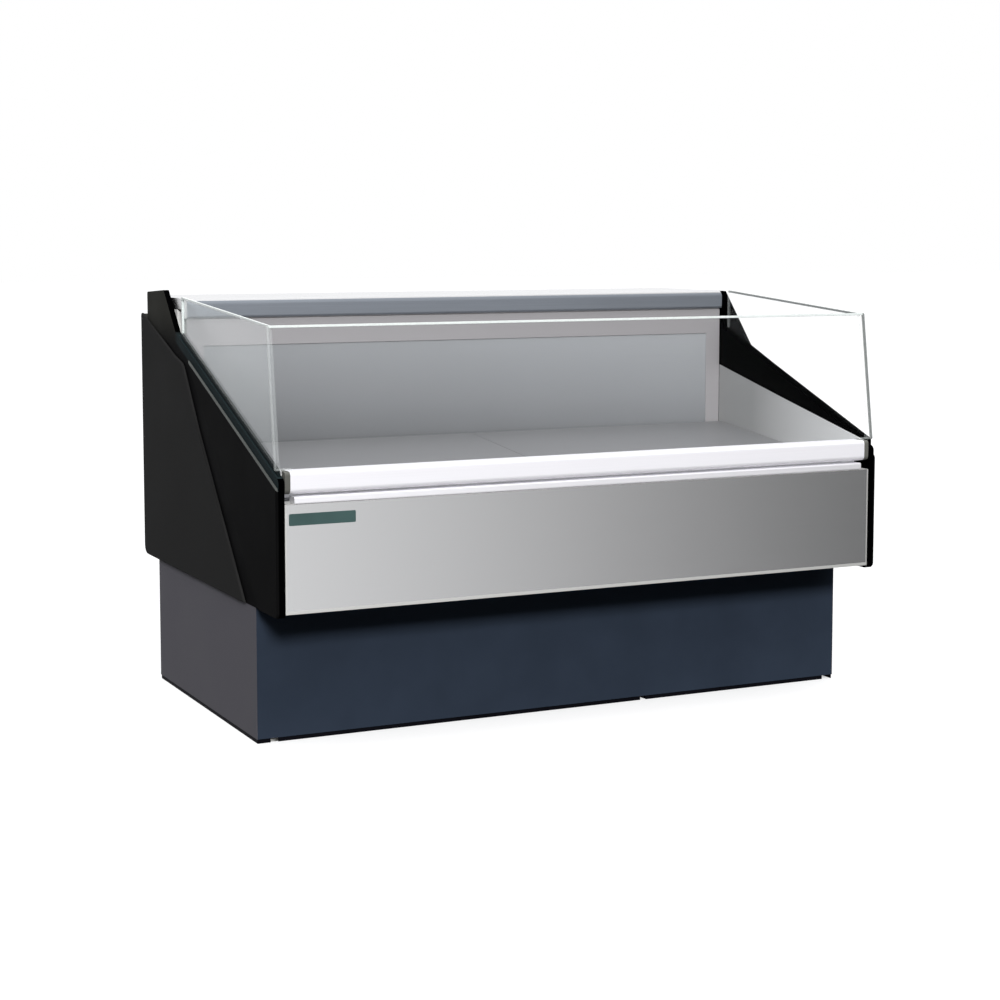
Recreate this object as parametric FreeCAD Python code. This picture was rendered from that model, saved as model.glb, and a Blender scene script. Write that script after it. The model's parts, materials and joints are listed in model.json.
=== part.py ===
import FreeCAD, Part
import math
import os

V = FreeCAD.Vector

# Refrigerated deli case, millimetres.
# Origin: middle of the footprint on the floor.  +X along the counter, -Y is the customer's side, +Z up.
# Depths in this file are measured back from the front plane, so a depth d lies at y = d - DEPTH / 2.

# Driving dimensions
LENGTH = 1574.0            # over both end covers
DEPTH = 1026.0             # front panel to the back edge of the end covers
COVER_T = 6.0              # raised moulded covers on the ends
COVER_DROP = 20.0          # the covers' sloping edge lies this much below the panel's
CORE_T = 14.0              # end panel core
SHEET = 1.5                # stainless and painted sheet
BODY_BOTTOM = 312.0        # underside of the end panels
BASE_FRONT = 162.0         # the base stands back from the front plane
BASE_REAR = 917.0
BASE_HALF = 780.0
SHEET_LOW = 10.0           # lower edge of the base sheets
SLOPE_START = 616.0        # height of the sloping top edge at the front plane
SLOPE_RISE = 0.385         # rise of that edge per millimetre of depth
KINK = 742.0               # depth where the slope meets the upright tab
TAB_TOP_LEFT = 1003.0
TAB_TOP_RIGHT = 984.0
TAB_REAR = 985.0           # upright rear edge of the tab
WORKTOP_TOP = 985.0
NOSE_FRONT = 690.0         # rounded front edge of the worktop
NOSE_LOW = 936.0
WALL_DEPTH = 700.0         # face of the rear wall inside the well
DECK_BACK = 624.0          # height of the display deck at the rear wall
DECK_FALL = 0.0958         # fall of the deck per millimetre towards the front
PAN_FRONT = 92.0           # front edge of the deck pans
HEM = 6.0                  # turned-down edge of the deck pans
GLASS_T = 6.0
PANE_LEAN = 7.92           # degrees the front pane leans back
PANE_FOOT = 607.0          # height of the pane's bottom edge inside the rail
PANE_TOP = 947.0
PIVOT_D = 13.0             # hinge line of the tilting front glass
PIVOT_Z = 595.0
PIN_R = 5.0
RUNNING_GAP = 0.05         # radial clearance of every pin and shaft

OUTER = LENGTH / 2
CORE_OUT = OUTER - COVER_T
INNER = CORE_OUT - CORE_T
TANK_HALF = INNER - 0.2
LINER_IN = INNER - SHEET
RAIL_HALF = 753.0
CAP_HALF = 765.3
RAIL_TOP = 633.0
PANE_HALF = 785.0
GLASS_IN = 770.2           # inner face of the end glass
GLASS_REAR_LEFT = 706.0    # upright rear edge of the end glass
GLASS_REAR_RIGHT = 668.0
GLASS_RISE = 0.0675        # rise of the end glass's top edge per millimetre of depth
PLATE_FRONT = 20.0         # the right corner plate runs back from here
LINER_FRONT = 22.0         # the end liners reach forward past the rail's end caps
PLATE_KINK = 569.0         # where its edge turns up to the tab
PLATE_TOP = 704.0
FLOOR_LOW = 322.0
FLOOR_TOP = 380.0
REAR_SKIN = 1006.0
STRIP_T = 3.0              # kick strip under the base sheets
TUBE = 40.0                # square tube of the base frame
TUBE_WALL = 2.0
TUBE_LOW = 12.0
FRAME_HALF = 766.0         # the frame stands between the end panels' lower edges
TRAY_Z = TUBE_LOW + TUBE
TRAY_T = 2.0
FOOT_X = 738.0
FOOT_DEPTHS = (186.0, 893.0)
FAN_X = 330.0
FAN_Z = 470.0
COMP_X = 110.0             # compressor
COMP_D = 560.0
COMP_Z = 66.0              # underside of its mounting plate
COND_X = 480.0
COND_Z = 168.0
DRAIN_X = -560.0
DRAIN_Z = 180.0
DRAIN_D = 260.0            # depth of the drain hole in the tank floor
DRAIN_PIPE_R = 15.2
DRAIN_BORE = 13.5
STUB_R = 16.7              # hose stub of the drain
STUB_START = 922.0
STUB_LENGTH = 36.0
GLAND_X = 650.0
GLAND_Z = 90.0
SWITCH_X = 545.0
KNOB_X = 640.0
CONTROL_Z = 660.0
SUCTION_X = 420.0
LIQUID_X = 450.0
LINE_D = 700.0


def at(depth):
    return depth - DEPTH / 2


def slope(depth):
    return SLOPE_START + SLOPE_RISE * depth


def deck(depth):
    return DECK_BACK - DECK_FALL * (WALL_DEPTH - depth)


# ---------- general shapes ----------

def box(x0, x1, d0, d1, z0, z1):
    return Part.makeBox(x1 - x0, d1 - d0, z1 - z0, V(x0, at(d0), z0))


def rod_x(x0, x1, depth, z, radius):
    return Part.makeCylinder(radius, x1 - x0, V(x0, at(depth), z), V(1, 0, 0))


def rod_y(d0, d1, x, z, radius):
    return Part.makeCylinder(radius, d1 - d0, V(x, at(d0), z), V(0, 1, 0))


def rod_z(z0, z1, x, depth, radius):
    return Part.makeCylinder(radius, z1 - z0, V(x, at(depth), z0), V(0, 0, 1))


def corner(before, here, after, radius):
    """Start, middle and end of the arc that rounds one corner of a flat outline."""
    to_before = before.sub(here)
    to_before.normalize()
    to_after = after.sub(here)
    to_after.normalize()
    half = to_before.getAngle(to_after) / 2
    reach = radius / math.tan(half)
    middle_way = to_before.add(to_after)
    middle_way.normalize()
    centre = here.add(middle_way * (radius / math.sin(half)))
    start = here.add(to_before * reach)
    end = here.add(to_after * reach)
    return start, centre.sub(middle_way * radius), end


def rounded_face(points, radii):
    """Flat face from corner points; each corner is rounded by its own radius, 0 keeps it sharp."""
    count = len(points)
    ends = []
    edges = []
    for i in range(count):
        if radii[i] > 0:
            start, middle, end = corner(points[i - 1], points[i], points[(i + 1) % count], radii[i])
            edges.append([Part.Arc(start, middle, end).toShape()])
        else:
            start = points[i]
            end = points[i]
            edges.append([])
        ends.append((start, end))
    for i in range(count):
        edges[i].append(Part.makeLine(ends[i][1], ends[(i + 1) % count][0]))
    return Part.Face(Part.Wire([edge for group in edges for edge in group]))


def side_plate(corners, x0, x1):
    """Plate between two X planes from (depth, height, radius) corners."""
    points = [V(x0, at(depth), z) for depth, z, radius in corners]
    radii = [radius for depth, z, radius in corners]
    return rounded_face(points, radii).extrude(V(x1 - x0, 0, 0))


def edges_at(shape, x):
    """Edges of a side plate that lie wholly in one X plane."""
    return [e for e in shape.Edges if abs(e.BoundBox.XMin - x) < 0.01 and abs(e.BoundBox.XMax - x) < 0.01]


def mirrored(shape):
    return shape.mirror(V(0, 0, 0), V(1, 0, 0))


def square_tube(x0, x1, d0, d1, z0, z1, along):
    """Open-ended square tube; along is 'x', 'y' or 'z'."""
    in_x, in_d, in_z = [0 if axis == along else TUBE_WALL for axis in "xyz"]
    hollow = box(x0 + in_x, x1 - in_x, d0 + in_d, d1 - in_d, z0 + in_z, z1 - in_z)
    return box(x0, x1, d0, d1, z0, z1).cut(hollow)


def bent_tube(points, outer, bend, inner=0.0):
    """Round tube along straight runs joined by tangent arcs; points are (x, depth, z)."""
    path = [V(x, at(depth), z) for x, depth, z in points]
    edges = []
    last = path[0]
    for i in range(1, len(path) - 1):
        start, middle, end = corner(path[i - 1], path[i], path[i + 1], bend)
        edges.append(Part.makeLine(last, start))
        edges.append(Part.Arc(start, middle, end).toShape())
        last = end
    edges.append(Part.makeLine(last, path[-1]))
    spine = Part.Wire(edges)
    direction = path[1].sub(path[0])
    tube = spine.makePipeShell([Part.Wire(Part.makeCircle(outer, path[0], direction))], True, True)
    if inner > 0:
        hole = spine.makePipeShell([Part.Wire(Part.makeCircle(inner, path[0], direction))], True, True)
        tube = tube.cut(hole)
    return tube


def save(name, *solids):
    """Write one node: every solid is checked and the group is exported as one STEP file."""
    pieces = []
    for solid in solids:
        pieces.extend(solid.Solids)
    for piece in pieces:
        if not piece.isValid() or piece.Volume <= 0:
            print("bad solid in", name)
    shape = pieces[0] if len(pieces) == 1 else Part.makeCompound(pieces)
    shape.exportStep("parts/" + name + ".step")


# ---------- end panels, built for the right-hand end ----------

def tab_front(tab_top):
    """Depth of the tab's leaning front edge at its top."""
    return KINK + (tab_top - slope(KINK)) * 0.95


def end_panel(tab_top, glass_rear):
    """Foamed end panel with its upright tab, the glass slot and the blind bore for the pivot pin."""
    corners = [
        (0, BODY_BOTTOM, 14),
        (0, slope(0), 14),
        (KINK, slope(KINK), 0),
        (tab_front(tab_top), tab_top, 6),
        (TAB_REAR, tab_top - (tab_top - TAB_TOP_RIGHT) * 0.42, 5),
        (TAB_REAR, 926, 0),
        (DEPTH, 939, 4),
        (DEPTH, BODY_BOTTOM, 25),
    ]
    plate = side_plate(corners, INNER, CORE_OUT)
    slot = side_plate(
        [
            (glass_front(slope(0)) - 1, slope(0) - 12, 0),
            (glass_front(slope(0)) - 1, slope(0) + 60, 0),
            (glass_rear + 2, slope(glass_rear + 2) + 60, 0),
            (glass_rear + 2, slope(glass_rear + 2) - 16, 0),
        ],
        GLASS_IN - 0.2,
        GLASS_IN + GLASS_T + 0.2,
    )
    plate = plate.cut(slot)
    return plate.cut(rod_x(INNER - 1, INNER + 12, PIVOT_D, PIVOT_Z, PIN_R + RUNNING_GAP))


def end_cover_front():
    """Raised front cover: its sloping edge follows the panel, its rear edge bounds the dark groove."""
    corners = [
        (0, BODY_BOTTOM, 14),
        (0, slope(0) - COVER_DROP, 14),
        (630, slope(630) - COVER_DROP, 0),
        (462, 674, 150),
        (125, BODY_BOTTOM, 0),
    ]
    cover = side_plate(corners, CORE_OUT, OUTER)
    return cover.makeChamfer(2.5, edges_at(cover, OUTER))


def end_cover_rear():
    """Raised rear cover with a rounded lower back corner."""
    corners = [
        (223, BODY_BOTTOM, 0),
        (556, 680, 300),
        (672, 828, 40),
        (744, 846, 30),
        (DEPTH, 942, 6),
        (DEPTH, BODY_BOTTOM, 25),
    ]
    cover = side_plate(corners, CORE_OUT, OUTER)
    return cover.makeChamfer(2.5, edges_at(cover, OUTER))


def end_liner():
    """Thin stainless liner on the inside of an end panel."""
    corners = [
        (62.2, FLOOR_TOP, 0),
        (62.2, 606, 0),
        (LINER_FRONT, 606, 3),
        (LINER_FRONT, 632.5, 1),
        (385, 710.5, 400),
        (699.8, 780.5, 0),
        (699.8, FLOOR_TOP, 0),
    ]
    return side_plate(corners, LINER_IN, INNER)


def glass_front(z):
    """Depth of the end glass's leaning front edge at a height; it runs parallel to the front pane."""
    return pane_front(z) + GLASS_T / math.cos(math.radians(PANE_LEAN)) + 2.0


def end_glass(rear):
    """Clear end glass standing in the panel's slot."""
    foot = slope(16) - 11
    front_top = glass_front(946)
    corners = [
        (glass_front(foot), foot, 0),
        (front_top, 946, 4),
        (rear, 946 + GLASS_RISE * (rear - front_top), 4),
        (rear, slope(rear) - 15, 0),
    ]
    return side_plate(corners, GLASS_IN, GLASS_IN + GLASS_T)


def plate_edge(depth):
    """Height of the right corner plate's edge along the slope."""
    return 628.0 + 0.3696 * depth


def corner_plate():
    """Black plate outside the right glass: a low edge along the slope that turns up to close the corner."""
    tab_end = tab_front(TAB_TOP_RIGHT)
    top_edge = [
        (PLATE_FRONT, plate_edge(PLATE_FRONT), 4),
        (PLATE_KINK, plate_edge(PLATE_KINK), 0),
        (PLATE_TOP, TAB_TOP_RIGHT, 4),
        (tab_end, TAB_TOP_RIGHT, 0),
    ]
    upright = side_plate(
        [(PLATE_FRONT, slope(PLATE_FRONT), 0)] + top_edge + [(KINK, slope(KINK), 0)],
        GLASS_IN + GLASS_T + 0.3,
        CORE_OUT,
    )
    apron_foot = (PLATE_FRONT, slope(PLATE_FRONT) - COVER_DROP, 0)
    apron_end = (KINK, slope(KINK) - COVER_DROP, 0)
    apron = side_plate([apron_foot] + top_edge + [apron_end], CORE_OUT, OUTER)
    filler = side_plate(
        [
            (NOSE_FRONT + 1, slope(NOSE_FRONT + 1), 0),
            (NOSE_FRONT + 1, TAB_TOP_RIGHT, 0),
            (tab_end, TAB_TOP_RIGHT, 0),
            (KINK, slope(KINK), 0),
        ],
        INNER,
        GLASS_IN + GLASS_T + 0.3,
    )
    return upright.fuse([apron, filler]).removeSplitter()


# ---------- front: panel, badge, lip and tilting glass ----------

def front_panel():
    """Stainless front skin on the foamed front wall."""
    return box(-766, 766, SHEET, 2 * SHEET, 320, 561)


def badge_plate():
    """Small blank plate at the left end of the front panel."""
    plate = box(-757, -602, 0, SHEET, 515, 541)
    corners = [e for e in plate.Edges if e.BoundBox.YLength > 1.4]
    return plate.makeFillet(3.0, corners)


def front_lip():
    """Bright rail that caps the front panel."""
    bar = box(-744, 744, 1, 34, 561.5, 578)
    fronts = [
        e for e in bar.Edges
        if e.BoundBox.XLength > 1000 and abs(e.BoundBox.YMin - at(1)) < 0.01
    ]
    return bar.makeFillet(4.0, fronts)


def pane_front(z):
    """Depth of the pane's front face at a height."""
    return 7.0 + (z - PANE_FOOT) * math.tan(math.radians(PANE_LEAN))


def leaning(shape):
    """Turn a shape built upright at the pane's foot to the pane's lean."""
    foot = V(0, at(pane_front(PANE_FOOT)), PANE_FOOT)
    return shape.rotate(foot, V(1, 0, 0), -PANE_LEAN)


def along_pane(z):
    """Height above the foot in the upright pane that reaches a true height once it leans."""
    return PANE_FOOT + (z - PANE_FOOT) / math.cos(math.radians(PANE_LEAN))


def front_glass():
    """Front pane: full width above the rail, narrower foot between the end panels."""
    depth = at(pane_front(PANE_FOOT))
    shoulder = along_pane(RAIL_TOP + 2)
    top = along_pane(PANE_TOP)
    outline = [
        (-750, PANE_FOOT, 0), (750, PANE_FOOT, 0), (750, shoulder, 0), (PANE_HALF, shoulder, 3),
        (PANE_HALF, top, 5), (-PANE_HALF, top, 5), (-PANE_HALF, shoulder, 3), (-750, shoulder, 0),
    ]
    points = [V(x, depth, z) for x, z, radius in outline]
    radii = [radius for x, z, radius in outline]
    return leaning(rounded_face(points, radii).extrude(V(0, GLASS_T, 0)))


def upright_slab(half, front, back, low, high):
    """Box around the upright pane, measured from the pane's front face."""
    foot = pane_front(PANE_FOOT)
    return box(-half, half, foot + front, foot + back, low, high)


def front_glass_gasket():
    """Black channel gasket between the pane and the rail."""
    channel = leaning(upright_slab(750, -1.5, GLASS_T + 1.5, PANE_FOOT - 1.5, along_pane(RAIL_TOP - 0.5)))
    return channel.cut(front_glass())


def rail_section(x0, x1):
    """Nosing profile: its lower front corner is round about the hinge line, so that it turns freely."""
    corners = [
        (1, 583, 12),
        (1, RAIL_TOP, 8),
        (50, RAIL_TOP, 5),
        (50, 583, 5),
    ]
    return side_plate(corners, x0, x1)


def glass_rail():
    """Bright nosing that clamps the front pane."""
    rail = rail_section(-RAIL_HALF, RAIL_HALF)
    slot = leaning(upright_slab(751, -1.5, GLASS_T + 1.5, PANE_FOOT - 1.5, RAIL_TOP + 30))
    chamber = box(-RAIL_HALF - 1, RAIL_HALF + 1, 25, 45, 589, 627)
    rail = rail.cut(slot).cut(chamber)
    for side in (-1, 1):
        pin = rod_x(735, RAIL_HALF + 1, PIVOT_D, PIVOT_Z, PIN_R)
        rail = rail.cut(pin if side > 0 else mirrored(pin))
    return rail


def rail_end_cap():
    """Grey end cap of the nosing, bored for the pivot pin."""
    cap = rail_section(RAIL_HALF, CAP_HALF)
    return cap.cut(rod_x(RAIL_HALF - 1, CAP_HALF + 1, PIVOT_D, PIVOT_Z, PIN_R))


def pivot_pin():
    """Steel pin from the nosing into the end panel."""
    return rod_x(735, INNER + 11, PIVOT_D, PIVOT_Z, PIN_R)


# ---------- insulated tank ----------

def tank_front_wall():
    """Foamed front wall behind the stainless skin."""
    return box(-TANK_HALF, TANK_HALF, 2 * SHEET, 62, FLOOR_LOW, 561)


def tank_floor():
    """Foamed floor with the drain hole and the holes for the refrigerant lines."""
    slab = box(-TANK_HALF, TANK_HALF, 62, REAR_SKIN - 0.2, FLOOR_LOW, FLOOR_TOP)
    slab = slab.cut(rod_z(FLOOR_LOW - 1, FLOOR_TOP + 1, DRAIN_X, DRAIN_D, DRAIN_PIPE_R + 0.3))
    for x in (SUCTION_X, LIQUID_X):
        slab = slab.cut(rod_z(FLOOR_LOW - 1, FLOOR_TOP + 1, x, LINE_D, 9))
    return slab


def tank_rear_wall():
    """Foamed rear wall with the ribs that carry the rear panel and leave the air duct between them."""
    wall = box(-TANK_HALF, TANK_HALF, 770, 820, FLOOR_TOP, 956)
    ribs = []
    for x in (-750, -375, 0, 375, 750):
        front = WALL_DEPTH + 3 + SHEET if abs(x) < 742 else WALL_DEPTH + 3
        ribs.append(box(x - 7, x + 7, front, 771, FLOOR_TOP, 925))
    return wall.fuse(ribs).removeSplitter()


def rear_wall_frame():
    """Stainless border round the recessed rear panel."""
    sheet = box(-LINER_IN + 0.3, LINER_IN - 0.3, WALL_DEPTH, WALL_DEPTH + 3, FLOOR_TOP + 120, NOSE_LOW)
    return sheet.cut(box(-722, 722, WALL_DEPTH - 1, WALL_DEPTH + 4, 612, 868))


def rear_wall_panel():
    """Recessed rear panel behind the border."""
    return box(-742, 742, WALL_DEPTH + 3, WALL_DEPTH + 3 + SHEET, 590, 890)


def worktop():
    """Stainless worktop with a deep rounded nose over the well."""
    slab = box(-INNER + 0.5, INNER - 0.5, 720, 1018, 957, WORKTOP_TOP)
    nose = side_plate(
        [
            (NOSE_FRONT, NOSE_LOW, 8),
            (NOSE_FRONT, WORKTOP_TOP, 16),
            (NOSE_FRONT + 50, WORKTOP_TOP, 0),
            (NOSE_FRONT + 50, NOSE_LOW, 6),
        ],
        -INNER + 0.5,
        INNER - 0.5,
    )
    return slab.fuse(nose).removeSplitter()


# ---------- display deck and air circuit ----------

def deck_pan(x0, x1):
    """Sloping lift-out pan with a short hem turned down on all four sides and one finger hole."""
    front = PAN_FRONT
    back = 692.0

    def tray(inset, top_gap, bottom_gap):
        return side_plate(
            [
                (front + inset, deck(front + inset) - HEM - bottom_gap, 0),
                (front + inset, deck(front + inset) - top_gap, 0),
                (back - inset, deck(back - inset) - top_gap, 0),
                (back - inset, deck(back - inset) - HEM - bottom_gap, 0),
            ],
            x0 + inset,
            x1 - inset,
        )

    pan = tray(0, 0, 0).cut(tray(SHEET, SHEET, 5))
    return pan.cut(rod_z(500, 700, (x0 + x1) / 2, front + 45, 12))


def deck_rails():
    """Front and rear angle rails under the pans, with short brackets on the front wall."""
    front_top = deck(PAN_FRONT) - HEM
    front = box(-LINER_IN + 0.5, LINER_IN - 0.5, 88.5, 112, front_top - 2, front_top)
    front = front.fuse(box(-LINER_IN + 0.5, LINER_IN - 0.5, 88.5, 90.5, front_top - 24, front_top))
    for x in (-700, -350, 0, 350, 700):
        front = front.fuse(box(x - 12, x + 12, 62, 90, front_top - 24, front_top - 18))
    rear_top = deck(664) - HEM
    rear = box(-LINER_IN + 0.5, LINER_IN - 0.5, 664, WALL_DEPTH, rear_top - 2, rear_top)
    rear = rear.fuse(box(-LINER_IN + 0.5, LINER_IN - 0.5, 698, WALL_DEPTH, rear_top - 30, rear_top))
    return [front.removeSplitter(), rear.removeSplitter()]


def return_air_grille():
    """Slotted air return between the front wall and the pans."""
    top = 566.0
    grille = box(-LINER_IN + 0.5, LINER_IN - 0.5, 62.5, 88, deck(PAN_FRONT) - HEM - 18, top)
    count = 36
    pitch = 2 * (LINER_IN - 10) / count
    for i in range(count):
        x = -LINER_IN + 10 + pitch * (i + 0.5)
        grille = grille.cut(box(x - pitch / 2 + 2, x + pitch / 2 - 2, 66, 84.5, 500, top + 1))
    return grille


def fan_plenum():
    """Upright sheet under the deck with one round opening per fan."""
    sheet = box(-LINER_IN + 0.5, LINER_IN - 0.5, 330, 332, FLOOR_TOP, 562)
    for x in (-FAN_X, FAN_X):
        sheet = sheet.cut(rod_y(329, 333, x, FAN_Z, 74))
    return sheet


def fan_motor(x):
    """Small motor behind the plenum, held by three arms, with its shaft through the opening."""
    body = rod_y(352, 396, x, FAN_Z, 36)
    body = body.makeFillet(5.0, [e for e in body.Edges if e.BoundBox.YLength < 0.01])
    motor = body.fuse(rod_y(312, 354, x, FAN_Z, 4 - RUNNING_GAP))
    for angle in (90, 210, 330):
        arm = box(x, x + 88, 332, 336, FAN_Z - 5, FAN_Z + 5)
        arm = arm.cut(box(x - 1, x + 30, 331, 337, FAN_Z - 6, FAN_Z + 6))
        strut = box(x + 26, x + 34, 332, 362, FAN_Z - 5, FAN_Z + 5)
        arm = arm.fuse(strut).rotate(V(x, 0, FAN_Z), V(0, 1, 0), angle)
        motor = motor.fuse(arm)
    return motor.removeSplitter()


def fan_blade(x, z, d0, d1, hub, tip, bore, blades):
    """Axial fan wheel: bored hub with pitched blades, turning about a line along Y."""
    middle = (d0 + d1) / 2
    wheel = rod_y(d0, d1, x, z, hub)
    for i in range(blades):
        blade = box(x + hub - 3, x + tip, middle - 1, middle + 1, z - tip * 0.32, z + tip * 0.32)
        blade = blade.rotate(V(x, at(middle), z), V(1, 0, 0), 24)
        blade = blade.common(rod_y(d0 - 20, d1 + 20, x, z, tip))
        blade = blade.rotate(V(x, at(middle), z), V(0, 1, 0), 360.0 / blades * i)
        wheel = wheel.fuse(blade)
    wheel = wheel.cut(rod_y(d0 - 1, d1 + 1, x, z, bore))
    return wheel.removeSplitter()


def evaporator_coil():
    """Fin block between end plates, with the return bends of its tubes."""
    coil = box(-600, 600, 412, 640, 396, 544)
    for side in (-1, 1):
        x0 = 600 if side > 0 else -603
        coil = coil.fuse(box(x0, x0 + 3, 404, 648, FLOOR_TOP, 552))
        for row in range(3):
            for column in range(4):
                x1 = 603 if side > 0 else -621
                coil = coil.fuse(rod_x(x1, x1 + 18, 442 + 55 * column, 422 + 46 * row, 6))
    return coil.removeSplitter()


def drain_pipe():
    """Drain from the tank floor to a flanged hose stub on the back of the base."""
    points = [(DRAIN_X, DRAIN_D, FLOOR_TOP), (DRAIN_X, DRAIN_D, DRAIN_Z), (DRAIN_X, BASE_REAR, DRAIN_Z)]
    pipe = bent_tube(points, DRAIN_PIPE_R, 55, DRAIN_BORE)
    end = STUB_START + STUB_LENGTH
    stub = rod_y(BASE_REAR, end, DRAIN_X, DRAIN_Z, STUB_R)
    stub = stub.fuse(rod_y(BASE_REAR, STUB_START, DRAIN_X, DRAIN_Z, 24))
    stub = stub.cut(rod_y(BASE_REAR - 1, end + 1, DRAIN_X, DRAIN_Z, DRAIN_BORE))
    return pipe.fuse(stub).removeSplitter()


# ---------- service side ----------

def rear_service_panel():
    """Sheet over the service space, with the opening for the control box."""
    sheet = box(-766, 766, REAR_SKIN, REAR_SKIN + SHEET, FLOOR_LOW, 956)
    return sheet.cut(box(479.5, 720.5, REAR_SKIN - 1, REAR_SKIN + 3, CONTROL_Z - 70.5, CONTROL_Z + 70.5))


def control_box():
    """Switch and thermostat box, flush in the service panel."""
    housing = box(480, 720, 930, REAR_SKIN + SHEET, CONTROL_Z - 70, CONTROL_Z + 70)
    face = REAR_SKIN + SHEET
    well = box(SWITCH_X - 12, SWITCH_X + 12, face - 16, face + 1, CONTROL_Z - 23, CONTROL_Z + 23)
    housing = housing.cut(well)
    housing = housing.cut(rod_x(SWITCH_X - 16, SWITCH_X + 16, face - 5, CONTROL_Z, 1.5 + RUNNING_GAP))
    housing = housing.cut(rod_y(face - 18, face + 1, KNOB_X, CONTROL_Z, 3 + RUNNING_GAP))
    for x in (515, 665):
        housing = housing.fuse(box(x, x + 20, 820, 931, CONTROL_Z - 60, CONTROL_Z + 60))
    return housing.removeSplitter()


def rocker_switch():
    """Rocker with two sloping faces, resting in its off position."""
    face = REAR_SKIN + SHEET
    rocker = side_plate(
        [
            (face - 11, CONTROL_Z - 12, 3),
            (face + 2.5, CONTROL_Z - 20.5, 1),
            (face + 0.5, CONTROL_Z, 12),
            (face + 2.5, CONTROL_Z + 20.5, 1),
            (face - 11, CONTROL_Z + 12, 3),
        ],
        SWITCH_X - 11.4,
        SWITCH_X + 11.4,
    )
    rocker = rocker.fuse(rod_x(SWITCH_X - 15, SWITCH_X + 15, face - 5, CONTROL_Z, 1.5))
    return rocker.rotate(V(0, at(face - 5), CONTROL_Z), V(1, 0, 0), -5)


def thermostat_knob():
    """Fluted knob with a pointer ridge on its shaft."""
    face = REAR_SKIN + SHEET
    knob = rod_y(face + 0.4, face + 14, KNOB_X, CONTROL_Z, 19)
    knob = knob.makeChamfer(1.5, [e for e in knob.Edges if abs(e.BoundBox.YMin - at(face + 14)) < 0.01])
    for i in range(18):
        groove = rod_y(face - 1, face + 15, KNOB_X + 20, CONTROL_Z, 1.8)
        knob = knob.cut(groove.rotate(V(KNOB_X, 0, CONTROL_Z), V(0, 1, 0), 20.0 * i + 10))
    knob = knob.fuse(box(KNOB_X - 2, KNOB_X + 2, face + 13, face + 17, CONTROL_Z - 1, CONTROL_Z + 15))
    return knob.fuse(rod_y(face - 16, face + 1, KNOB_X, CONTROL_Z, 3)).removeSplitter()


def cord_gland():
    """Cable gland in the back of the base."""
    gland = rod_y(BASE_REAR - 10, BASE_REAR + 14, GLAND_X, GLAND_Z, 7.8)
    ring = rod_y(BASE_REAR, BASE_REAR + 5, GLAND_X, GLAND_Z, 13)
    gland = gland.fuse(ring).cut(rod_y(BASE_REAR - 11, BASE_REAR + 15, GLAND_X, GLAND_Z, 4.5))
    return gland.removeSplitter()


# ---------- base ----------

def base_frame():
    """Welded tube frame: four long rails, four cross rails and four corner posts."""
    front = BASE_FRONT + 4
    rear = BASE_REAR - 4
    low = TUBE_LOW
    high = FLOOR_LOW - TUBE
    tubes = []
    for foot_depth, depth in zip(FOOT_DEPTHS, (front, rear - TUBE)):
        bottom = square_tube(-FRAME_HALF, FRAME_HALF, depth, depth + TUBE, low, low + TUBE, "x")
        for x in (-FOOT_X, FOOT_X):
            bottom = bottom.cut(rod_z(low - 1, low + 3, x, foot_depth, PIN_R + RUNNING_GAP))
        tubes.append(bottom)
        tubes.append(square_tube(-FRAME_HALF, FRAME_HALF, depth, depth + TUBE, high, high + TUBE, "x"))
    for x in (-FRAME_HALF, FRAME_HALF - TUBE):
        for z in (low, high):
            tubes.append(square_tube(x, x + TUBE, front + TUBE, rear - TUBE, z, z + TUBE, "y"))
        for depth in (front, rear - TUBE):
            tubes.append(square_tube(x, x + TUBE, depth, depth + TUBE, TRAY_Z + TRAY_T, high, "z"))
    return tubes


def base_front_panel():
    """Plain front sheet of the base."""
    half = BASE_HALF - SHEET - 0.2
    return box(-half, half, BASE_FRONT, BASE_FRONT + SHEET, SHEET_LOW, BODY_BOTTOM)


def base_side_panel():
    """Side sheet of the base."""
    return box(BASE_HALF - SHEET, BASE_HALF, BASE_FRONT, BASE_REAR, SHEET_LOW, BODY_BOTTOM)


def base_rear_grille():
    """Louvred rear sheet with openings for the drain and the gland."""
    half = BASE_HALF - SHEET - 0.2
    sheet = box(-half, half, BASE_REAR - SHEET, BASE_REAR, SHEET_LOW, BODY_BOTTOM)
    for i in range(11):
        z = 78 + i * 18
        for x in (-330, 300):
            sheet = sheet.cut(box(x, x + 310, BASE_REAR - 3, BASE_REAR + 1, z, z + 9))
    sheet = sheet.cut(rod_y(BASE_REAR - 3, BASE_REAR + 1, DRAIN_X, DRAIN_Z, DRAIN_PIPE_R + 0.5))
    return sheet.cut(rod_y(BASE_REAR - 3, BASE_REAR + 1, GLAND_X, GLAND_Z, 8))


def toe_rails():
    """Black rails that the case stands on, and the kick strip that closes the gap under the sheets."""
    rails = [
        box(-704, 212, 172, 200, 0, TUBE_LOW),
        box(227, 704, 172, 200, 0, TUBE_LOW),
        box(-704, 704, 879, 907, 0, TUBE_LOW),
    ]
    strip_front = BASE_FRONT + SHEET
    strip_rear = strip_front + STRIP_T
    for x0, x1 in ((-775.5, -747), (-729, 212), (227, 750)):
        rails.append(box(x0, x1, strip_front, strip_rear, 0, TUBE_LOW))
    for side in (-1, 1):
        rail_x = 736 if side > 0 else -764
        rails.append(box(rail_x, rail_x + 28, 225, 855, 0, TUBE_LOW))
        strip_x = 775.5 if side > 0 else -778.5
        rails.append(box(strip_x, strip_x + STRIP_T, strip_front, BASE_REAR - SHEET, 0, TUBE_LOW))
    return rails


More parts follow.
